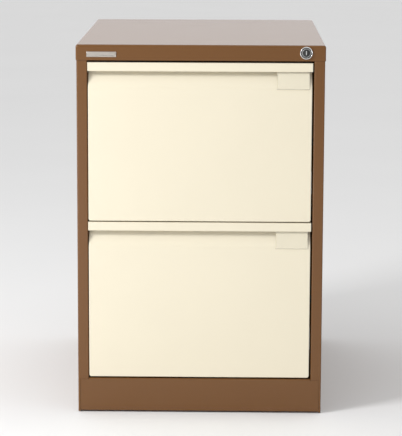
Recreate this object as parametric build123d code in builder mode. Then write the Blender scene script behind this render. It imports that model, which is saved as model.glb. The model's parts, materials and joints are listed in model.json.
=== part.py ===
"""Two-drawer steel filing cabinet.

Millimetres. The origin is at the centre of the footprint on the floor, +Z is up, and the drawers
open towards -Y. The right-hand side, seen from the front, is +X. Sheet-metal sections are drawn
as their outer outline, which is then thickened inwards.
"""

import os
from math import atan2, cos, pi, sin, sqrt, tan

from build123d import *

# ---- Overall size -------------------------------------------------------------------------
width = 470.0
depth = 622.0
height = 711.0

# ---- Sheet and folds ----------------------------------------------------------------------
cap_sheet = 1.2
sheet = 1.0
front_sheet = 0.9
slide_sheet = 1.2
cage_sheet = 0.8
fold = 2.0
slide_fold = 2.5
cage_fold = 1.5
cap_fold = 0.9
cut_margin = 1.0  # how far a cutting block runs past the metal that it removes
thread_gap = 0.05

# ---- Carcass ------------------------------------------------------------------------------
lock_proud = 3.0
cap_skirt = 29.7
cap_edge_radius = 4.0
cap_corner_radius = 2.5
cap_return = 14.0
upright_width = 20.4
upright_return = 12.0
rear_flange = 20.0
side_bottom = 1.5
plinth_bottom = 3.0
plinth_top = 67.5
plinth_shoulder = 65.0
plinth_side_gap = 4.4
plinth_return = 27.0
joint_gap = 0.4
pan_flange = 10.0
back_side_gap = 1.3
emboss_depth = 2.0
emboss_margin = 38.0
emboss_radius = 18.0
emboss_draft = 30.0  # degrees
post_width = 30.0
stiffener_width = 40.0
stiffener_height = 18.0

cap_front = -depth / 2 + lock_proud
cap_back = depth / 2
cap_underside = height - cap_sheet
side_top = height - cap_edge_radius
cap_bottom = height - cap_skirt
upright_front = cap_front + cap_sheet
side_face = width / 2 - cap_sheet
side_inside = side_face - sheet
upright_inside = side_face - upright_width
rear_face = cap_back - cap_sheet
pan_bottom = plinth_bottom + sheet
pan_top = pan_bottom + sheet

# ---- Drawer fronts ------------------------------------------------------------------------
front_height = 302.5
drawer_pitch = 304.6
upper_bottom = 375.1
lower_bottom = upper_bottom - drawer_pitch
front_half_width = 211.1
lip_half_width = 211.9
front_offset = -1.0  # the fronts hang a little left of the middle of the opening
front_proud = 0.5
lip_proud = 0.7
lip_height = 16.6
hem_depth = 2.4
hem_height = 8.0
recess_height = 35.0
recess_depth = 14.0
recess_slope_height = 30.0
recess_bend = 22.0
recess_wall = 17.0
pan_depth = 20.0
front_corner_radius = 4.0
front_edge_radius = 1.4
lip_fold = 1.4
hem_fold = 1.1
recess_slope = atan2(recess_depth, recess_slope_height)

front_face = upright_front - front_proud
front_back = front_face + pan_depth
lip_bottom = front_height - lip_height
recess_start = lip_bottom - recess_height

# ---- Drawer bodies ------------------------------------------------------------------------
body_half_width = 199.5
body_floor = 12.0
body_side_height = 233.0
body_back_height = 213.0
body_back = 283.0
rail_width = 6.0
rail_drop = 9.0
bottom_flange = 12.0
body_back_lip = 8.0
body_inside = body_half_width - front_sheet

# ---- Telescopic slides --------------------------------------------------------------------
slide_height_in_drawer = 70.0
slide_front = -276.0
slide_length = 550.0
moving_member_length = 544.0
slide_outer_half = 22.5
slide_middle_half = 17.6
slide_inner_half = 12.7
ball_diameter = 3.5
ball_hole = 3.7
ball_rows = 6
ball_spacing = 22.0
cage_length = 140.0
slide_outer_face = 212.3
outer_member_tip = 202.3
middle_member_face = 208.8
middle_member_tip = 201.9
inner_member_tip = 205.6
outer_cage_face = 210.3
outer_cage_tip = 203.2
outer_ball_x = 205.6
inner_cage_face = 207.0
inner_cage_tip = 201.2
inner_ball_x = 203.8
cage_centre = -1.0

front_post_centre = -253.0
rear_post_centre = 255.0
rivet_radius = 2.0
rivet_hole = 2.05
rivet_head = 3.4
rivet_head_height = 1.3
post_rivet_heights = (-10.0, 10.0)
drawer_rivet_places = (-240.0, 0.0, 240.0)
buffer_gap = 0.5
buffer_half_height = 16.0
buffer_edge = 1.5

# ---- Lock ---------------------------------------------------------------------------------
lock_x = 198.0
lock_z = 697.0
bezel_radius = 11.9
bezel_ring = 1.9
dish_depth = 1.6
lock_hole_clearance = 0.3
barrel_radius = 9.5
barrel_length = 20.0
lock_nut_radius = 11.5
lock_nut_height = 4.0
plug_radius = 8.2
plug_bore = 8.28
plug_proud = 2.2
plug_edge = 0.6
keyway_width = 1.8
keyway_height = 8.0
keyway_depth = 9.0
cam_radius = 10.0
cam_thickness = 2.0
cam_front = -286.5
pin_radius = 2.5
pin_length = 4.0
bar_drop = 10.0
pin_throw = bar_drop / sqrt(2)
bar_front = -284.0
bar_thickness = 2.0
bar_inner = 214.5
bar_outer = 226.0
bar_foot = 95.0
arm_height = 13.0
arm_tip = 196.5
slot_height = 6.0
slot_length = 10.0
bar_edge = 1.2
hook_tip = 203.0
hook_height = 14.0
striker_height_in_drawer = 130.0
striker_height = 12.0
striker_tip = 211.0
striker_front = -281.0
striker_flange = 19.0
hook_clearance = 1.5
guide_heights = (120.0, 400.0, 655.0)
guide_height = 14.0
guide_depth = 8.0
guide_wall = 1.5
guide_clearance = 0.2

# ---- Trim, labels and feet ----------------------------------------------------------------
plate_centre = (-186.6, 692.8)
plate_size = (56.0, 10.0)
plate_thickness = 0.8
plate_corner = 1.2
plate_edge = 0.3
label_left = 143.0
label_right = 206.0
label_bottom = recess_start + 1.5
label_top = lip_bottom + 4.0
label_proud = 2.0
label_top_depth = 4.5
label_wall = 0.8
label_mouth = 5.0  # how far the card's slot is cut past the top of the holder
label_hollow_start = 3.2
label_hollow_bottom = label_bottom + 16.0
card_thickness = 0.3
card_slot = 0.5
card_end_gap = 0.4
card_top_gap = 0.5
scallop_depth = 2.5
foot_places = ((-195.0, -262.0), (195.0, -262.0), (-195.0, 262.0), (195.0, 262.0))
foot_radius = 14.0
foot_edge = 1.2
stud_radius = 4.0
stud_hole = 4.2
stud_height = 18.0
nut_radius = 7.5
nut_height = 5.0


def save(piece, label):
    """Name a finished piece and write it to its own file."""
    piece.part.label = label
    export_step(piece.part, f"parts/{label}.step")


def folded_sheet(outline, gauge, bend, plane, length):
    """A strip of sheet bent along an outline, as long as given, centred on the plane."""
    with BuildPart() as strip:
        with BuildSketch(plane):
            with BuildLine():
                FilletPolyline(*outline, radius=bend)
                offset(amount=gauge, side=Side.LEFT)
            make_face()
        extrude(amount=length / 2, both=True)
    return strip


def mirrored(piece):
    """The opposite-handed copy of a piece, across the cabinet's middle plane."""
    with BuildPart() as twin:
        mirror(piece.part, about=Plane.YZ)
    return twin


def block(low, high, mode=Mode.ADD):
    """A plain box between two corners, for use inside a part being built."""
    size = [top - bottom for bottom, top in zip(low, high)]
    middle = tuple((top + bottom) / 2 for bottom, top in zip(low, high))
    with Locations(middle):
        Box(*size, mode=mode)


def cross_section(y_middle):
    """The vertical plane facing the front, at the given distance back."""
    return Plane.XZ.offset(-y_middle)


# ---- Carcass pieces -----------------------------------------------------------------------
def make_top_panel():
    with BuildPart() as cap:
        with BuildSketch(Plane.XY.offset(height)):
            with Locations((0, (cap_front + cap_back) / 2)):
                Rectangle(width, cap_back - cap_front)
        extrude(amount=-cap_skirt)
        fillet(cap.edges().filter_by(Axis.Z), radius=cap_corner_radius)
        fillet(cap.faces().sort_by(Axis.Z)[-1].edges(), radius=cap_edge_radius)
        offset(amount=-cap_sheet, openings=cap.faces().sort_by(Axis.Z)[0])
        # The front skirt turns back between the uprights.
        block(
            (-upright_inside + joint_gap, cap_front + cap_sheet / 2, cap_bottom),
            (upright_inside - joint_gap, cap_front + cap_return, cap_bottom + cap_sheet),
        )
        fillet(cap.edges().group_by(Axis.Z)[0].sort_by(Axis.Y)[0], radius=cap_fold)
        with BuildSketch(cross_section(cap_front)):
            with Locations((lock_x, lock_z)):
                Circle(barrel_radius + lock_hole_clearance)
        extrude(amount=-2 * cap_sheet, mode=Mode.SUBTRACT)
    return cap


def make_side_panel():
    """The right-hand side, folded in at the front into an upright and at the rear into a flange."""
    with BuildPart() as panel:
        with BuildSketch(Plane.XY.offset(side_bottom)):
            with BuildLine():
                FilletPolyline(
                    (upright_inside, upright_front + upright_return),
                    (upright_inside, upright_front),
                    (side_face, upright_front),
                    (side_face, rear_face),
                    (side_face - rear_flange, rear_face),
                    radius=fold,
                )
                offset(amount=sheet, side=Side.LEFT)
            make_face()
        extrude(amount=side_top - side_bottom)
        # Below the joint line the upright is notched so that the plinth lies flush beside it.
        block(
            (upright_inside - cut_margin, upright_front - cut_margin, 0),
            (
                side_face - plinth_side_gap + joint_gap,
                upright_front + upright_return + cut_margin,
                plinth_shoulder + joint_gap,
            ),
            mode=Mode.SUBTRACT,
        )
    return panel


def make_plinth():
    half = side_face - plinth_side_gap
    outline = (
        (upright_front + plinth_return, plinth_top),
        (upright_front, plinth_top),
        (upright_front, plinth_bottom),
        (upright_front + plinth_return, plinth_bottom),
    )
    strip = folded_sheet(outline, sheet, fold, Plane.YZ, 2 * half)
    with BuildPart() as plinth:
        add(strip.part)
        for side in (-1, 1):
            inner = side * (upright_inside - joint_gap)
            outer = side * (half + cut_margin)
            block(
                (min(inner, outer), upright_front - cut_margin, plinth_shoulder),
                (
                    max(inner, outer),
                    upright_front + plinth_return + cut_margin,
                    plinth_top + cut_margin,
                ),
                mode=Mode.SUBTRACT,
            )
    return plinth


def make_base_pan():
    outline = (
        (-side_inside, pan_bottom + pan_flange),
        (-side_inside, pan_bottom),
        (side_inside, pan_bottom),
        (side_inside, pan_bottom + pan_flange),
    )
    front = upright_front + 2 * fold
    back = rear_face - 2 * sheet
    tray = folded_sheet(outline, sheet, fold, cross_section((front + back) / 2), back - front)
    with BuildPart() as pan:
        add(tray.part)
        with Locations(*[(x, y, pan_bottom) for x, y in foot_places]):
            Cylinder(stud_hole, 4 * sheet, mode=Mode.SUBTRACT)
    return pan


def make_back_panel():
    """The back, welded inside the rear flanges, with a shallow pressed field that stiffens it."""
    half = side_inside - back_side_gap
    back = rear_face - sheet
    field = (2 * (half - emboss_margin), side_top - pan_top - 2 * emboss_margin)
    middle = (pan_top + side_top) / 2
    with BuildPart() as panel:
        block((-half, back - sheet, pan_top), (half, back, side_top))
        with BuildSketch(cross_section(back)):
            with Locations((0, middle)):
                RectangleRounded(*field, radius=emboss_radius)
        extrude(amount=-emboss_depth, taper=emboss_draft)
        with BuildSketch(cross_section(back - sheet)):
            with Locations((0, middle)):
                inner_radius = emboss_radius - sheet / 2
                RectangleRounded(field[0] - sheet, field[1] - sheet, radius=inner_radius)
        extrude(amount=-emboss_depth, taper=emboss_draft, mode=Mode.SUBTRACT)
    return panel


def make_post(y_middle):
    """A right-hand channel post that carries the slides."""
    near = y_middle - post_width / 2
    far = y_middle + post_width / 2
    low = pan_bottom + pan_flange
    middle_z = (low + side_top) / 2
    outline = (
        (side_inside, far),
        (slide_outer_face, far),
        (slide_outer_face, near),
        (side_inside, near),
    )
    channel = folded_sheet(outline, slide_sheet, fold, Plane.XY.offset(middle_z), side_top - low)
    with BuildPart() as post:
        add(channel.part)
        places = [
            (slide_outer_face, y_middle, bottom + slide_height_in_drawer + rise)
            for bottom in (upper_bottom, lower_bottom)
            for rise in post_rivet_heights
        ]
        with Locations(*places):
            Cylinder(rivet_hole, 4 * slide_sheet, rotation=(0, 90, 0), mode=Mode.SUBTRACT)
    return post


def make_top_stiffener():
    half = stiffener_width / 2
    low = cap_underside - stiffener_height
    outline = ((-half, cap_underside), (-half, low), (half, low), (half, cap_underside))
    return folded_sheet(outline, sheet, fold, Plane.YZ, 2 * (side_face - cap_edge_radius))


def make_nameplate():
    """A blank badge plate."""
    with BuildPart() as plate:
        with BuildSketch(cross_section(cap_front)):
            with Locations(plate_centre):
                RectangleRounded(*plate_size, radius=plate_corner)
        extrude(amount=plate_thickness)
        fillet(plate.faces().sort_by(Axis.Y)[0].edges(), radius=plate_edge)
    return plate


def make_feet():
    """Four glide feet with their studs."""
    with BuildPart() as feet:
        with Locations(*[(x, y, 0) for x, y in foot_places]):
            Cylinder(foot_radius, pan_bottom, align=(Align.CENTER, Align.CENTER, Align.MIN))
            Cylinder(
                stud_radius,
                pan_bottom + stud_height,
                align=(Align.CENTER, Align.CENTER, Align.MIN),
            )
        fillet(feet.edges().filter_by(GeomType.CIRCLE).group_by(Axis.Z)[0], radius=foot_edge)
    return feet


def make_foot_nuts():
    with BuildPart() as nuts:
        with BuildSketch(Plane.XY.offset(pan_top)):
            with Locations(*foot_places):
                RegularPolygon(nut_radius, 6)
                Circle(stud_radius + thread_gap, mode=Mode.SUBTRACT)
        extrude(amount=nut_height)
    return nuts


# ---- Slides -------------------------------------------------------------------------------
def channel_opening_inwards(face, tip, half, middle_z):
    return (
        (tip, middle_z - half),
        (face, middle_z - half),
        (face, middle_z + half),
        (tip, middle_z + half),
    )


def make_outer_member(middle_z):
    outline = channel_opening_inwards(slide_outer_face, outer_member_tip, slide_outer_half, middle_z)
    plane = cross_section(slide_front + slide_length / 2)
    channel = folded_sheet(outline, slide_sheet, slide_fold, plane, slide_length)
    with BuildPart() as member:
        add(channel.part)
        places = [
            (slide_outer_face, y, middle_z + rise)
            for y in (front_post_centre, rear_post_centre)
            for rise in post_rivet_heights
        ]
        with Locations(*places):
            Cylinder(rivet_hole, 4 * slide_sheet, rotation=(0, 90, 0), mode=Mode.SUBTRACT)
    return member


def make_middle_member(middle_z):
    outline = channel_opening_inwards(
        middle_member_face, middle_member_tip, slide_middle_half, middle_z
    )
    plane = cross_section(slide_front + moving_member_length / 2)
    return folded_sheet(outline, slide_sheet, slide_fold, plane, moving_member_length)


def make_inner_member(middle_z):
    outline = (
        (inner_member_tip, middle_z + slide_inner_half),
        (body_half_width, middle_z + slide_inner_half),
        (body_half_width, middle_z - slide_inner_half),
        (inner_member_tip, middle_z - slide_inner_half),
    )
    plane = cross_section(slide_front + moving_member_length / 2)
    channel = folded_sheet(outline, slide_sheet, slide_fold, plane, moving_member_length)
    with BuildPart() as member:
        add(channel.part)
        with Locations(*[(body_half_width, y, middle_z) for y in drawer_rivet_places]):
            Cylinder(rivet_hole, 4 * slide_sheet, rotation=(0, 90, 0), mode=Mode.SUBTRACT)
    return member


def make_cages(face, tip, ball_x, ball_height, middle_z):
    """The pair of ball retainers, left and right, with their balls loose in the holes."""
    half = ball_height + cage_sheet / 2
    outline = channel_opening_inwards(face, tip, half, middle_z)
    strip = folded_sheet(outline, cage_sheet, cage_fold, cross_section(cage_centre), cage_length)
    places = [
        (ball_x, cage_centre + (row - (ball_rows - 1) / 2) * ball_spacing, middle_z + z)
        for row in range(ball_rows)
        for z in (-ball_height, ball_height)
    ]
    with BuildPart() as right:
        add(strip.part)
        with Locations(*places):
            Cylinder(ball_hole / 2, 3 * cage_sheet, mode=Mode.SUBTRACT)
            Sphere(ball_diameter / 2)
    with BuildPart() as pair:
        add(right.part)
        mirror(right.part, about=Plane.YZ)
    return pair


def make_post_rivets():
    """Rivets from the posts into the outer slide members, flush on the running side."""
    inner = slide_outer_face - slide_sheet
    outer = slide_outer_face + slide_sheet
    places = [
        (inner, y, bottom + slide_height_in_drawer + rise)
        for y in (front_post_centre, rear_post_centre)
        for bottom in (upper_bottom, lower_bottom)
        for rise in post_rivet_heights
    ]
    with BuildPart() as right:
        for x, y, z in places:
            with BuildSketch(Plane(origin=(x, y, z), z_dir=(1, 0, 0))):
                Circle(rivet_radius)
            extrude(amount=outer - inner)
            with BuildSketch(Plane(origin=(outer, y, z), z_dir=(1, 0, 0))):
                Circle(rivet_head)
            extrude(amount=rivet_head_height)
    with BuildPart() as rivets:
        add(right.part)
        mirror(right.part, about=Plane.YZ)
    return rivets


def make_buffers():
    """Rubber stops in the rear ends of the outer slide members."""
    front = slide_front + moving_member_length + buffer_gap
    back = slide_front + slide_length
    with BuildPart() as buffers:
        for bottom in (upper_bottom, lower_bottom):
            middle_z = bottom + slide_height_in_drawer
            for side in (-1, 1):
                inner = side * (outer_member_tip + buffer_gap)
                outer = side * (slide_outer_face - slide_sheet)
                block(
                    (min(inner, outer), front, middle_z - buffer_half_height),
                    (max(inner, outer), back, middle_z + buffer_half_height),
                )
        fillet(buffers.edges().filter_by(Axis.X), radius=buffer_edge)
    return buffers


# ---- Drawers ------------------------------------------------------------------------------
def make_front_block(bottom, inset, back):
    """The solid that fills a drawer front up to its face, with the sloping recess under the lip.

    inset moves the face, the recess, the sides and the lower edge inwards by the sheet's thickness.
    """
    half = front_half_width - inset
    face = front_face + inset
    low = bottom + inset
    high = bottom + front_height - front_sheet
    bend_height = bottom + lip_bottom - recess_slope_height - inset * tan(recess_slope / 2)
    wall = face + recess_wall
    wall_foot = bend_height + recess_wall / tan(recess_slope)
    with BuildPart() as solid:
        with BuildSketch(Plane.YZ.offset(front_offset)):
            with BuildLine():
                FilletPolyline(
                    (face, low), (face, bend_height), (wall, wall_foot), radius=recess_bend - inset
                )
                Polyline((wall, wall_foot), (wall, high), (back, high), (back, low), (face, low))
            make_face()
        extrude(amount=half, both=True)
        lower_corners = solid.edges().filter_by(Axis.Y).group_by(Axis.Z)[0]
        fillet(lower_corners, radius=front_corner_radius - inset)
        flat_face = solid.faces().filter_by(Axis.Y).sort_by(Axis.Y)[0]
        flat_top = flat_face.edges().sort_by(Axis.Z)[-1]
        fillet(flat_face.edges() - [flat_top], radius=front_edge_radius - inset)
    return solid


def make_front_panel(bottom):
    """The outer skin of a drawer front, with its recess and the lip that the fingers pull."""
    skin = make_front_block(bottom, 0.0, front_back)
    hollow = make_front_block(bottom, front_sheet, front_back + cut_margin)
    lip_face = front_face - lip_proud
    top = bottom + front_height
    foot = bottom + lip_bottom
    with BuildPart() as panel:
        add(skin.part)
        add(hollow.part, mode=Mode.SUBTRACT)
        with BuildSketch(Plane.YZ.offset(front_offset)):
            with BuildLine():
                FilletPolyline(
                    (front_back, top),
                    (lip_face, top),
                    (lip_face, foot),
                    (lip_face + hem_depth, foot),
                    (lip_face + hem_depth, foot + hem_height),
                    radius=(lip_fold, hem_fold, hem_fold),
                )
                offset(amount=front_sheet, side=Side.RIGHT)
            make_face()
        extrude(amount=lip_half_width, both=True)
    return panel


def make_front_liner(bottom):
    """The flat inner skin that closes the back of the drawer front."""
    half = front_half_width - front_sheet
    with BuildPart() as liner:
        block(
            (front_offset - half, front_back - front_sheet, bottom + front_sheet),
            (front_offset + half, front_back, bottom + front_height - front_sheet),
        )
        corners = liner.edges().filter_by(Axis.Y).group_by(Axis.Z)[0]
        fillet(corners, radius=front_corner_radius - front_sheet)
    return liner


def make_body_side(bottom):
    """The right-hand drawer side, its top edge rolled inwards as a rail for hanging files."""
    low = bottom + body_floor
    high = low + body_side_height
    outline = (
        (body_half_width - bottom_flange, low),
        (body_half_width, low),
        (body_half_width, high),
        (body_half_width - rail_width, high),
        (body_half_width - rail_width, high - rail_drop),
    )
    length = body_back - front_back
    plane = cross_section((body_back + front_back) / 2)
    strip = folded_sheet(outline, front_sheet, fold, plane, length)
    middle_z = bottom + slide_height_in_drawer
    with BuildPart() as side:
        add(strip.part)
        with Locations(*[(body_half_width, y, middle_z) for y in drawer_rivet_places]):
            Cylinder(rivet_hole, 4 * front_sheet, rotation=(0, 90, 0), mode=Mode.SUBTRACT)
    return side


def make_body_bottom(bottom):
    low = bottom + body_floor + front_sheet
    with BuildPart() as tray:
        block(
            (-body_inside + fold - front_sheet, front_back, low),
            (body_inside - fold + front_sheet, body_back - front_sheet, low + front_sheet),
        )
    return tray


def make_body_back(bottom):
    low = bottom + body_floor + fold
    high = low + body_back_height
    outline = ((body_back, low), (body_back, high), (body_back - body_back_lip, high))
    return folded_sheet(outline, front_sheet, fold, Plane.YZ, 2 * body_inside)


def label_front(z_in_drawer):
    """How far back the label holder's sloping face is at a height above the drawer's foot."""
    share = (z_in_drawer - label_bottom) / (label_top - label_bottom)
    return front_face - label_proud + share * (label_top_depth + label_proud)


def label_layer(bottom, near, far, low, high):
    """Corners of a layer of the label holder, between two depths behind its sloping face."""
    return (
        (label_front(low) + near, bottom + low),
        (label_front(high) + near, bottom + high),
        (label_front(high) + far, bottom + high),
        (label_front(low) + far, bottom + low),
    )


def cut_scallop(bottom):
    """Take the shallow thumb scallop out of the left edge of the part being built."""
    half = (lip_bottom - label_bottom) / 2
    radius = (half**2 + scallop_depth**2) / (2 * scallop_depth)
    centre = (label_left + scallop_depth - radius, front_face, bottom + label_bottom + half)
    with Locations(centre):
        Cylinder(radius, 2 * recess_height, rotation=(90, 0, 0), mode=Mode.SUBTRACT)


def make_label_holder(bottom):
    """A clear moulding in the right-hand end of the recess, with a slot for a card."""
    front = make_front_block(bottom, 0.0, front_back)
    label_middle = (label_left + label_right) / 2
    half = (label_right - label_left) / 2
    card_top = label_top + label_mouth
    slot_bottom = label_bottom + label_wall
    with BuildPart() as holder:
        with BuildSketch(Plane.YZ.offset(label_middle)):
            Polygon(*label_layer(bottom, 0, recess_depth, label_bottom, label_top), align=None)
        extrude(amount=half, both=True)
        add(front.part, mode=Mode.SUBTRACT)
        with BuildSketch(Plane.YZ.offset(label_middle - label_wall)):
            layer = label_layer(bottom, label_wall, label_wall + card_slot, slot_bottom, card_top)
            Polygon(*layer, align=None)
        extrude(amount=half, both=True, mode=Mode.SUBTRACT)
        # Behind the card the moulding is hollow.
        with BuildSketch(Plane.YZ.offset(label_middle)):
            layer = label_layer(
                bottom, label_hollow_start, recess_depth, label_hollow_bottom, card_top
            )
            Polygon(*layer, align=None)
        extrude(amount=half - 2 * label_wall, both=True, mode=Mode.SUBTRACT)
        cut_scallop(bottom)
    return holder


def make_label_card(bottom):
    inset = (card_slot - card_thickness) / 2
    low = label_bottom + label_wall
    with BuildPart() as card:
        with BuildSketch(Plane.YZ.offset((label_left + label_right) / 2 - label_wall)):
            near = label_wall + inset
            far = near + card_thickness
            layer = label_layer(bottom, near, far, low + card_end_gap, label_top - card_top_gap)
            Polygon(*layer, align=None)
        extrude(amount=(label_right - label_left) / 2 - card_end_gap, both=True)
        cut_scallop(bottom)
    return card


def make_striker(bottom):
    """The bracket on the drawer's right side that the lock bar's hook catches."""
    outline = (
        (body_half_width, striker_front + striker_flange),
        (body_half_width, striker_front),
        (striker_tip, striker_front),
    )
    middle_z = bottom + striker_height_in_drawer + striker_height / 2
    return folded_sheet(outline, slide_sheet, fold, Plane.XY.offset(middle_z), striker_height)


def make_drawer_rivets(bottom):
    """Rivets through the drawer sides into the inner slide members."""
    middle_z = bottom + slide_height_in_drawer
    layers = (
        (body_inside - rivet_head_height, body_inside, rivet_head),
        (body_inside, body_half_width + slide_sheet, rivet_radius),
        (
            body_half_width + slide_sheet,
            body_half_width + slide_sheet + rivet_head_height,
            rivet_head,
        ),
    )
    with BuildPart() as right:
        for y in drawer_rivet_places:
            for start, end, radius in layers:
                with BuildSketch(Plane(origin=(start, y, middle_z), z_dir=(1, 0, 0))):
                    Circle(radius)
                extrude(amount=end - start)
    with BuildPart() as rivets:
        add(right.part)
        mirror(right.part, about=Plane.YZ)
    return rivets


# ---- Lock pieces --------------------------------------------------------------------------
def make_lock_housing():
    """Bezel and barrel in one casting, turned about the lock's axis."""
    front = cap_front - lock_proud
    dish_radius = bezel_radius - bezel_ring
    dish_floor = front + dish_depth
    ring_middle = bezel_radius - bezel_ring / 2
    ring_shoulder = front + bezel_ring / 2
    barrel_back = cap_front + barrel_length
    with BuildPart() as housing:
        with BuildSketch(Plane(origin=(lock_x, 0, lock_z), x_dir=(1, 0, 0), z_dir=(0, 0, 1))):
            with BuildLine():
                Polyline(
                    (bezel_radius, ring_shoulder),
                    (bezel_radius, cap_front),
                    (barrel_radius, cap_front),
                    (barrel_radius, barrel_back),
                    (plug_bore, barrel_back),
                    (plug_bore, dish_floor),
                    (dish_radius, dish_floor),
                    (dish_radius, ring_shoulder),
                )
                ThreePointArc(
                    (dish_radius, ring_shoulder), (ring_middle, front), (bezel_radius, ring_shoulder)
                )
            make_face()
        revolve(axis=Axis((lock_x, 0, lock_z), (0, 1, 0)))
    return housing


def make_lock_nut():
    with BuildPart() as nut:
        with BuildSketch(cross_section(upright_front)):
            with Locations((lock_x, lock_z)):
                RegularPolygon(lock_nut_radius, 6)
                Circle(barrel_radius + thread_gap, mode=Mode.SUBTRACT)
        extrude(amount=-lock_nut_height)
    return nut


def make_lock_plug():
    """The turning plug, with its keyway upright when the cabinet is unlocked."""
    front = cap_front - plug_proud
    with BuildPart() as plug:
        with BuildSketch(cross_section(front)):
            with Locations((lock_x, lock_z)):
                Circle(plug_radius)
        extrude(amount=-(cam_front - front))
        fillet(plug.edges().filter_by(GeomType.CIRCLE).sort_by(Axis.Y)[0], radius=plug_edge)
        with BuildSketch(cross_section(front)):
            with Locations((lock_x, lock_z)):
                SlotOverall(keyway_height, keyway_width, rotation=90)
        extrude(amount=-keyway_depth, mode=Mode.SUBTRACT)
    return plug


def make_lock_cam():
    """The disc behind the plug, with the pin that lowers the lock bar by a quarter turn."""
    back = cam_front + cam_thickness
    pin_x = lock_x + pin_throw * cos(pi / 4)
    pin_z = lock_z + pin_throw * sin(pi / 4)
    with BuildPart() as cam:
        with BuildSketch(cross_section(cam_front)):
            with Locations((lock_x, lock_z)):
                Circle(cam_radius)
        extrude(amount=-cam_thickness)
        with BuildSketch(cross_section(back)):
            with Locations((pin_x, pin_z)):
                Circle(pin_radius)
        extrude(amount=-pin_length)
    return cam


def make_lock_bar():
    """The flat bar behind the right upright, with an arm for the cam and a hook per drawer."""
    arm_middle = lock_z + bar_drop / 2
    slot_middle = lock_x + pin_throw * (1 + cos(pi / 4)) / 2
    with BuildPart() as bar:
        with BuildSketch(cross_section(bar_front)):
            with Locations(((bar_inner + bar_outer) / 2, (bar_foot + arm_middle) / 2)):
                Rectangle(bar_outer - bar_inner, arm_middle - bar_foot)
            with Locations(((arm_tip + bar_outer) / 2, arm_middle)):
                Rectangle(bar_outer - arm_tip, arm_height)
            for bottom in (upper_bottom, lower_bottom):
                hook_bottom = bottom + striker_height_in_drawer + striker_height + hook_clearance
                with Locations(((hook_tip + bar_outer) / 2, hook_bottom + hook_height / 2)):
                    Rectangle(bar_outer - hook_tip, hook_height)
            with Locations((slot_middle, arm_middle)):
                SlotOverall(slot_length, slot_height, mode=Mode.SUBTRACT)
        extrude(amount=-bar_thickness)
        fillet(bar.edges().filter_by(Axis.Y).filter_by(GeomType.LINE), radius=bar_edge)
    return bar


def make_bar_guides():
    """Plastic guides on the side panel that the lock bar slides in."""
    near = bar_front + bar_thickness / 2 - guide_depth / 2
    gap = guide_clearance
    with BuildPart() as guides:
        for middle_z in guide_heights:
            low = middle_z - guide_height / 2
            high = middle_z + guide_height / 2
            block((bar_inner - guide_wall, near, low), (side_inside, near + guide_depth, high))
            block(
                (bar_inner - gap, bar_front - gap, low),
                (bar_outer + gap, bar_front + bar_thickness + gap, high),
                mode=Mode.SUBTRACT,
            )
    return guides


# ---- Write every piece --------------------------------------------------------------------
os.makedirs("parts", exist_ok=True)

save(make_top_panel(), "top_panel")
save(make_plinth(), "plinth")
save(make_base_pan(), "base_pan")
save(make_back_panel(), "back_panel")
save(make_top_stiffener(), "top_stiffener")
save(make_nameplate(), "nameplate")
save(make_feet(), "glide_feet")
save(make_foot_nuts(), "foot_nuts")
save(make_post_rivets(), "slide_rivets")
save(make_buffers(), "slide_buffers")
save(make_lock_housing(), "lock_housing")
save(make_lock_nut(), "lock_nut")
save(make_lock_plug(), "lock_plug")
save(make_lock_cam(), "lock_cam")
save(make_lock_bar(), "lock_bar")
save(make_bar_guides(), "lock_bar_guides")

handed_carcass = {
    "side_panel": make_side_panel(),
    "front_post": make_post(front_post_centre),
    "rear_post": make_post(rear_post_centre),
}
for name, piece in handed_carcass.items():
    save(piece, f"right_{name}")
    save(mirrored(piece), f"left_{name}")

for drawer, bottom in (("upper", upper_bottom), ("lower", lower_bottom)):
    slide_z = bottom + slide_height_in_drawer
    save(make_front_panel(bottom), f"{drawer}_front_panel")
    save(make_front_liner(bottom), f"{drawer}_front_liner")
    save(make_body_bottom(bottom), f"{drawer}_drawer_bottom")
    save(make_body_back(bottom), f"{drawer}_drawer_back")
    save(make_label_holder(bottom), f"{drawer}_label_holder")
    save(make_label_card(bottom), f"{drawer}_label_card")
    save(make_striker(bottom), f"{drawer}_lock_striker")
    save(make_drawer_rivets(bottom), f"{drawer}_drawer_rivets")
    outer_ball_height = (slide_outer_half - slide_sheet + slide_middle_half) / 2
    inner_ball_height = (slide_middle_half - slide_sheet + slide_inner_half) / 2
    outer_cages = make_cages(
        outer_cage_face, outer_cage_tip, outer_ball_x, outer_ball_height, slide_z
    )
    inner_cages = make_cages(
        inner_cage_face, inner_cage_tip, inner_ball_x, inner_ball_height, slide_z
    )
    save(outer_cages, f"{drawer}_outer_ball_cages")
    save(inner_cages, f"{drawer}_inner_ball_cages")
    handed = {
        "drawer_side": make_body_side(bottom),
        "slide_outer": make_outer_member(slide_z),
        "slide_middle": make_middle_member(slide_z),
        "slide_inner": make_inner_member(slide_z),
    }
    for name, piece in handed.items():
        save(piece, f"{drawer}_right_{name}")
        save(mirrored(piece), f"{drawer}_left_{name}")
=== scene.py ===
"""Looks of the steel filing cabinet: materials, small visible pieces, floor, light and camera.

Metres, in the frame of the CAD model: +Z up, the drawers open towards -Y, +X is the right-hand
side seen from the front.
"""

import json
from math import cos, pi, radians, sin

import bmesh
import bpy
from mathutils import Matrix, Vector


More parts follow.
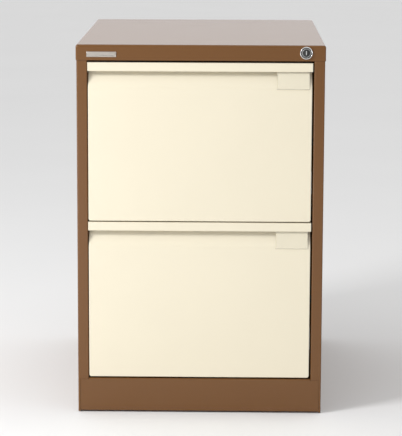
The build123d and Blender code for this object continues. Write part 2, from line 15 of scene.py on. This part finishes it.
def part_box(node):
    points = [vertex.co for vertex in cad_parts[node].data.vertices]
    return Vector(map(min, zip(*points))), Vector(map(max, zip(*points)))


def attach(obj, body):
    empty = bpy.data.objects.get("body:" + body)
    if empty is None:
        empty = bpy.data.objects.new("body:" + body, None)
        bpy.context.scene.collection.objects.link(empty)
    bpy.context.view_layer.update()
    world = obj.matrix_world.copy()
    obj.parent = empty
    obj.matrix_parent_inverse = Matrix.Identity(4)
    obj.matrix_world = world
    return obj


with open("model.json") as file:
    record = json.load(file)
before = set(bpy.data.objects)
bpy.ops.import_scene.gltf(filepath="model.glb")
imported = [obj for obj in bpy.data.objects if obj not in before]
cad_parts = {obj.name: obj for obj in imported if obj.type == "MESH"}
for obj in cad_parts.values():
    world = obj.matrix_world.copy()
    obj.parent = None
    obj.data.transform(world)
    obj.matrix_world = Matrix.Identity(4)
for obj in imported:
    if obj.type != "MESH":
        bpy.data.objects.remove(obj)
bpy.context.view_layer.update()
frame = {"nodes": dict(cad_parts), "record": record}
nodes = frame["nodes"]
scene = bpy.context.scene


# ---- Node helpers -------------------------------------------------------------------------
def new_material(name):
    """An empty node material with its Principled shader."""
    material = bpy.data.materials.new(name)
    material.use_nodes = True
    tree = material.node_tree
    shader = tree.nodes["Principled BSDF"]
    return material, tree, shader


def object_coordinates(tree, scale=(1.0, 1.0, 1.0)):
    """The piece's own coordinates in metres, stretched by the given factors."""
    place = tree.nodes.new("ShaderNodeTexCoord")
    mapping = tree.nodes.new("ShaderNodeMapping")
    mapping.inputs["Scale"].default_value = scale
    tree.links.new(place.outputs["Object"], mapping.inputs["Vector"])
    return mapping.outputs["Vector"]


def noise(tree, vector, scale, detail=2.0, roughness=0.5):
    """Fractal noise from 0 to 1; scale is in features to the metre."""
    texture = tree.nodes.new("ShaderNodeTexNoise")
    texture.inputs["Scale"].default_value = scale
    texture.inputs["Detail"].default_value = detail
    texture.inputs["Roughness"].default_value = roughness
    tree.links.new(vector, texture.inputs["Vector"])
    return texture.outputs["Fac"]


def remap(tree, value, low, high, to_low, to_high):
    """value, spread from one range to another."""
    node = tree.nodes.new("ShaderNodeMapRange")
    node.inputs["From Min"].default_value = low
    node.inputs["From Max"].default_value = high
    node.inputs["To Min"].default_value = to_low
    node.inputs["To Max"].default_value = to_high
    tree.links.new(value, node.inputs["Value"])
    return node.outputs["Result"]


def tint(tree, factor, low_colour, high_colour):
    """A colour between two colours."""
    node = tree.nodes.new("ShaderNodeMix")
    node.data_type = "RGBA"
    node.inputs["A"].default_value = (*low_colour, 1.0)
    node.inputs["B"].default_value = (*high_colour, 1.0)
    tree.links.new(factor, node.inputs["Factor"])
    return node.outputs["Result"]


def bump(tree, shader, height, distance, strength):
    """Raise the shader's surface by a height texture, whose full depth is distance in metres."""
    node = tree.nodes.new("ShaderNodeBump")
    node.inputs["Strength"].default_value = strength
    node.inputs["Distance"].default_value = distance
    tree.links.new(height, node.inputs["Height"])
    tree.links.new(node.outputs["Normal"], shader.inputs["Normal"])


def shade(colour, factor):
    """A colour made lighter or darker."""
    return tuple(channel * factor for channel in colour)


# ---- Materials ----------------------------------------------------------------------------
def enamel(name, colour, gloss_roughness, haze_depth):
    """Stoved enamel on sheet steel: fine orange peel, faint cloudiness and handling haze."""
    material, tree, shader = new_material(name)
    vector = object_coordinates(tree)
    clouds = remap(tree, noise(tree, vector, 6.0, detail=3.0), 0.3, 0.7, 0.0, 1.0)
    cloudy = tint(tree, clouds, shade(colour, 0.992), shade(colour, 1.008))
    tree.links.new(cloudy, shader.inputs["Base Color"])
    haze = noise(tree, vector, 17.0, detail=4.0, roughness=0.6)
    clean, handled = gloss_roughness - 0.4 * haze_depth, gloss_roughness + 0.6 * haze_depth
    tree.links.new(remap(tree, haze, 0.3, 0.7, clean, handled), shader.inputs["Roughness"])
    shader.inputs["IOR"].default_value = 1.5
    peel = noise(tree, vector, 420.0, detail=1.0)
    bump(tree, shader, peel, 0.00005, 0.12)
    return material


def plated_steel(name, colour, roughness, grain=(30.0, 1.0, 30.0)):
    """Zinc-plated or bright steel, with drawing lines along its length."""
    material, tree, shader = new_material(name)
    shader.inputs["Metallic"].default_value = 1.0
    lines = noise(tree, object_coordinates(tree, grain), 18.0, detail=3.0)
    tree.links.new(tint(tree, lines, shade(colour, 0.86), colour), shader.inputs["Base Color"])
    spread = remap(tree, lines, 0.2, 0.8, roughness - 0.06, roughness + 0.08)
    tree.links.new(spread, shader.inputs["Roughness"])
    bump(tree, shader, lines, 0.00008, 0.5)
    return material


def moulded(name, colour, roughness, grain_size, grain_height):
    """Moulded plastic or rubber with a fine surface grain."""
    material, tree, shader = new_material(name)
    vector = object_coordinates(tree)
    patchy = tint(tree, noise(tree, vector, 60.0), shade(colour, 0.8), shade(colour, 1.2))
    tree.links.new(patchy, shader.inputs["Base Color"])
    shader.inputs["Roughness"].default_value = roughness
    bump(tree, shader, noise(tree, vector, grain_size), grain_height, 0.5)
    return material


def clear_plastic(name, colour, opacity):
    """A clear moulding, thin enough to be seen straight through, faintly rubbed."""
    material, tree, shader = new_material(name)
    shader.inputs["Base Color"].default_value = (*colour, 1.0)
    shader.inputs["Alpha"].default_value = opacity
    shader.inputs["IOR"].default_value = 1.49
    rub = noise(tree, object_coordinates(tree), 90.0, detail=3.0)
    tree.links.new(remap(tree, rub, 0.3, 0.7, 0.10, 0.20), shader.inputs["Roughness"])
    return material


def card(name, colour):
    """Plain matt card with a faint fibre."""
    material, tree, shader = new_material(name)
    vector = object_coordinates(tree)
    fibres = noise(tree, vector, 900.0, detail=3.0)
    tree.links.new(tint(tree, fibres, shade(colour, 0.95), colour), shader.inputs["Base Color"])
    shader.inputs["Roughness"].default_value = 0.8
    bump(tree, shader, fibres, 0.00005, 0.4)
    return material


BROWN = (0.150, 0.061, 0.013)
CREAM = (0.78, 0.715, 0.562)

materials = {
    "brown_enamel": enamel("brown_enamel", BROWN, 0.26, 0.01),
    "cream_enamel": enamel("cream_enamel", CREAM, 0.3, 0.008),
    "galvanised_slide_steel": plated_steel("galvanised_slide_steel", (0.66, 0.67, 0.68), 0.34),
    "zinc_plated_steel": plated_steel("zinc_plated_steel", (0.60, 0.61, 0.62), 0.32, (20.0, 20.0, 20.0)),
    "black_passivated_steel": plated_steel("black_passivated_steel", (0.06, 0.06, 0.06), 0.42),
    "bearing_steel": plated_steel("bearing_steel", (0.58, 0.58, 0.58), 0.2),
    "lock_chrome": plated_steel("lock_chrome", (0.86, 0.86, 0.85), 0.12, (4.0, 4.0, 4.0)),
    "lock_plug_nickel": plated_steel("lock_plug_nickel", (0.42, 0.42, 0.42), 0.3, (60.0, 60.0, 60.0)),
    "satin_aluminium": plated_steel("satin_aluminium", (0.62, 0.57, 0.52), 0.3, (1.0, 60.0, 60.0)),
    "black_plastic": moulded("black_plastic", (0.02, 0.02, 0.02), 0.5, 1500.0, 0.00005),
    "black_rubber": moulded("black_rubber", (0.025, 0.025, 0.025), 0.75, 1200.0, 0.00008),
    "clear_plastic": clear_plastic("clear_plastic", (0.80, 0.77, 0.66), 0.12),
    "label_card": card("label_card", (0.81, 0.75, 0.60)),
}

# Painted shade: the lock's hooks and catches cross the gap beside the drawers, so they get a black finish
# in place of their zinc and the gap stays dark.
LOCK_GEAR_PAINTED_GAP_SHADE = ("lock_bar", "upper_lock_striker", "lower_lock_striker")

for part in frame["record"]["subparts"]:
    look = part["material_slot"]
    # painted shade: black steel in place of zinc on the lock gear seen through the gap
    if part["node"] in LOCK_GEAR_PAINTED_GAP_SHADE:
        look = "black_passivated_steel"
    mesh = nodes[part["node"]].data
    mesh.materials.clear()
    mesh.materials.append(materials[look])


# ---- Small visible pieces -------------------------------------------------------------------
MM = 0.001
LOOP_POINTS = 96


def circle_loop(centre, radius, y):
    """Points of a circle that faces the front; centre is (x, z)."""
    turns = [2 * pi * i / LOOP_POINTS for i in range(LOOP_POINTS)]
    return [(centre[0] + radius * cos(turn), y, centre[1] + radius * sin(turn)) for turn in turns]


def rounded_loop(centre, half_width, half_height, corner, y):
    """Points of a rounded rectangle that faces the front, the same number in each corner."""
    points = []
    per_corner = LOOP_POINTS // 4
    for quarter, (sign_x, sign_z) in enumerate(((1, 1), (-1, 1), (-1, -1), (1, -1))):
        middle_x = centre[0] + sign_x * (half_width - corner)
        middle_z = centre[1] + sign_z * (half_height - corner)
        for i in range(per_corner):
            turn = pi / 2 * (quarter + i / (per_corner - 1))
            points.append((middle_x + corner * cos(turn), y, middle_z + corner * sin(turn)))
    return points


def join_loops(name, loops, slot, body, ring=True):
    """A closed piece through loops of equal length, as a ring or capped at its two ends."""
    mesh = bpy.data.meshes.new(name)
    build = bmesh.new()
    rows = [[build.verts.new(point) for point in loop] for loop in loops]
    pairs = list(zip(rows, rows[1:]))
    if ring:
        pairs.append((rows[-1], rows[0]))
    else:
        build.faces.new(rows[0])
        build.faces.new(rows[-1])
    for near, far in pairs:
        for i in range(len(near)):
            following = (i + 1) % len(near)
            build.faces.new((near[i], near[following], far[following], far[i]))
    bmesh.ops.remove_doubles(build, verts=build.verts, dist=1e-7)
    bmesh.ops.recalc_face_normals(build, faces=build.faces)
    for face in build.faces:
        face.smooth = True
    for edge in build.edges:
        edge.smooth = edge.calc_face_angle(0.0) < radians(40)
    build.to_mesh(mesh)
    build.free()
    mesh.materials.append(materials[slot])
    piece = bpy.data.objects.new(name, mesh)
    scene.collection.objects.link(piece)
    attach(piece, body)
    return piece


def middle_and_front(node):
    """The (x, z) middle of a node and the y of its foremost point."""
    low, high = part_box(node)
    return ((low[0] + high[0]) / 2, (low[2] + high[2]) / 2), low[1]


def make_lock_trim():
    """A black ring in the dish round the plug as painted shade, the plug's black face as a painted dark
    reflection, and the shutter in its keyway.
    """
    centre, bezel_front = middle_and_front("lock_housing")
    low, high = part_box("lock_housing")
    bezel_width, dish_depth, gap = 1.9 * MM, 1.6 * MM, 0.1 * MM
    floor = bezel_front + dish_depth
    ring_inner, ring_height = 8.45 * MM, 0.2 * MM
    ring_outer = (high[0] - low[0]) / 2 - bezel_width - gap
    # Painted shade: a black ring on the dish floor stands in for the shade in the recessed groove round
    # the plug.
    join_loops(
        "lock_dish_painted_shade_ring",
        [
            circle_loop(centre, ring_outer, floor),
            circle_loop(centre, ring_outer, floor - ring_height),
            circle_loop(centre, ring_inner, floor - ring_height),
            circle_loop(centre, ring_inner, floor),
        ],
        "black_plastic",
        "carcass",
    )
    centre, plug_front = middle_and_front("lock_plug")
    face_radius, face_edge, face_height = 7.0 * MM, 0.25 * MM, 0.25 * MM
    slot_half_width, slot_half_height, slot_corner = 1.1 * MM, 4.2 * MM, 1.05 * MM
    back, front = plug_front, plug_front - face_height
    # Painted reflection: a black face on the plug stands in for the dark room mirrored in its chrome.
    join_loops(
        "lock_plug_painted_reflection_face",
        [
            circle_loop(centre, face_radius, back),
            circle_loop(centre, face_radius, front + face_edge / 2),
            circle_loop(centre, face_radius - face_edge, front),
            rounded_loop(centre, slot_half_width, slot_half_height, slot_corner, front),
            rounded_loop(centre, slot_half_width, slot_half_height, slot_corner, back),
        ],
        "black_plastic",
        "lock_plug",
    )
    shutter_half_width, shutter_half_height, shutter_corner = 0.8 * MM, 3.8 * MM, 0.75 * MM
    shutter_front, shutter_thickness = plug_front + 0.6 * MM, 0.4 * MM
    join_loops(
        "lock_keyway_shutter",
        [
            rounded_loop(centre, shutter_half_width, shutter_half_height, shutter_corner, y)
            for y in (shutter_front + shutter_thickness, shutter_front)
        ],
        "lock_chrome",
        "lock_plug",
        ring=False,
    )


def make_badge_rim():
    """A fine raised border round the blank badge plate."""
    low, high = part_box("nameplate")
    centre, front = middle_and_front("nameplate")
    half_width, half_height = (high[0] - low[0]) / 2, (high[2] - low[2]) / 2
    outer_gap, border, rise, corner = 0.35 * MM, 0.7 * MM, 0.25 * MM, 0.9 * MM
    outer = (half_width - outer_gap, half_height - outer_gap, corner)
    middle = (half_width - outer_gap - border / 2, half_height - outer_gap - border / 2, corner)
    inner = (half_width - outer_gap - border, half_height - outer_gap - border, corner)
    join_loops(
        "nameplate_border",
        [
            rounded_loop(centre, *outer, front),
            rounded_loop(centre, *middle, front - rise),
            rounded_loop(centre, *inner, front),
        ],
        "satin_aluminium",
        "carcass",
    )


def make_spot_welds():
    """Painted-over spot welds down the two rear flanges."""
    low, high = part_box("right_side_panel")
    inset, radius, rise, sunk = 10.0 * MM, 3.2 * MM, 0.35 * MM, 0.02 * MM
    count, foot_margin, top_margin = 9, 35.0 * MM, 55.0 * MM
    first, last = low[2] + foot_margin, high[2] - top_margin
    for side, sign in (("left", -1), ("right", 1)):
        for i in range(count):
            centre = (sign * (high[0] - inset), first + (last - first) * i / (count - 1))
            join_loops(
                f"{side}_spot_weld_{i + 1}",
                [
                    circle_loop(centre, radius, high[1] - sunk),
                    circle_loop(centre, 0.8 * radius, high[1] + 0.6 * rise),
                    circle_loop(centre, 0.4 * radius, high[1] + rise),
                ],
                "brown_enamel",
                "carcass",
                ring=False,
            )


make_lock_trim()
make_badge_rim()
make_spot_welds()


# ---- Camera -------------------------------------------------------------------------------
SENSOR_SIDE = 36.0  # millimetres
FOCAL_LENGTH = 161.5  # millimetres
LENS_SHIFT = -0.08257  # downward, as a share of the picture's longer side
FAR_LIMIT = 100.0
CAMERA_PLACE = (0.056, -3.965, 1.043)
YAW = radians(-0.854)
PITCH = radians(9.191)
ROLL = radians(0.211)

camera_data = bpy.data.cameras.new("camera")
camera = bpy.data.objects.new("camera", camera_data)
scene.collection.objects.link(camera)
scene.camera = camera
camera_data.sensor_width = SENSOR_SIDE
camera_data.lens = FOCAL_LENGTH
camera_data.shift_y = LENS_SHIFT
camera_data.clip_end = FAR_LIMIT

forward = Vector((sin(YAW) * cos(PITCH), cos(YAW) * cos(PITCH), -sin(PITCH)))
level = Vector((cos(YAW), -sin(YAW), 0.0))
upward = level.cross(forward)
right = level * cos(ROLL) + upward * sin(ROLL)
up = upward * cos(ROLL) - level * sin(ROLL)
turn = Matrix((right, up, -forward)).transposed().to_4x4()
camera.matrix_world = Matrix.Translation(CAMERA_PLACE) @ turn


# ---- Floor and light ----------------------------------------------------------------------
def make_floor():
    """A pale floor that runs on past the edges of every view."""
    mesh = bpy.data.meshes.new("floor")
    half = 40.0
    corners = [(-half, -half, 0.0), (half, -half, 0.0), (half, half, 0.0), (-half, half, 0.0)]
    mesh.from_pydata(corners, [], [(0, 1, 2, 3)])
    floor = bpy.data.objects.new("floor", mesh)
    scene.collection.objects.link(floor)
    material, tree, shader = new_material("floor_paper")
    vector = object_coordinates(tree)
    uneven = tint(tree, noise(tree, vector, 1.5), (0.80, 0.80, 0.80), (0.83, 0.83, 0.83))
    tree.links.new(uneven, shader.inputs["Base Color"])
    shader.inputs["Roughness"].default_value = 0.9
    mesh.materials.append(material)


def make_area_light(name, place, target, size, watts):
    """A rectangular lamp that stands at one place and points at another."""
    data = bpy.data.lights.new(name, "AREA")
    data.shape = "RECTANGLE"
    data.size, data.size_y = size
    data.energy = watts
    light = bpy.data.objects.new(name, data)
    light.location = place
    light.rotation_mode = "QUATERNION"
    light.rotation_quaternion = (Vector(target) - Vector(place)).to_track_quat("-Z", "Y")
    scene.collection.objects.link(light)


def make_studio(zenith, behind, in_front):
    """A white room, bright overhead and behind the cabinet and darker in front of it."""
    world = bpy.data.worlds.new("studio")
    scene.world = world
    world.use_nodes = True
    tree = world.node_tree
    place = tree.nodes.new("ShaderNodeTexCoord")
    axes = tree.nodes.new("ShaderNodeSeparateXYZ")
    tree.links.new(place.outputs["Generated"], axes.inputs["Vector"])
    horizon = remap(tree, axes.outputs["Y"], -0.7, 0.7, in_front, behind)
    mix = tree.nodes.new("ShaderNodeMix")
    mix.data_type = "FLOAT"
    mix.inputs["B"].default_value = zenith
    tree.links.new(remap(tree, axes.outputs["Z"], 0.1, 0.8, 0.0, 1.0), mix.inputs["Factor"])
    tree.links.new(horizon, mix.inputs["A"])
    tree.nodes["Background"].inputs["Color"].default_value = (1.0, 1.0, 1.0, 1.0)
    tree.links.new(mix.outputs["Result"], tree.nodes["Background"].inputs["Strength"])


make_floor()
make_studio(zenith=0.86, behind=1.18, in_front=0.24)
make_area_light("key", place=(-2.2, -1.7, 1.9), target=(0.0, -0.3, 0.35), size=(0.8, 0.7), watts=61.0)
make_area_light("low_fill", place=(-1.2, -2.1, 0.2), target=(-0.1, -0.3, 0.1), size=(1.2, 0.3), watts=8.0)
scene.view_settings.view_transform = "Standard"
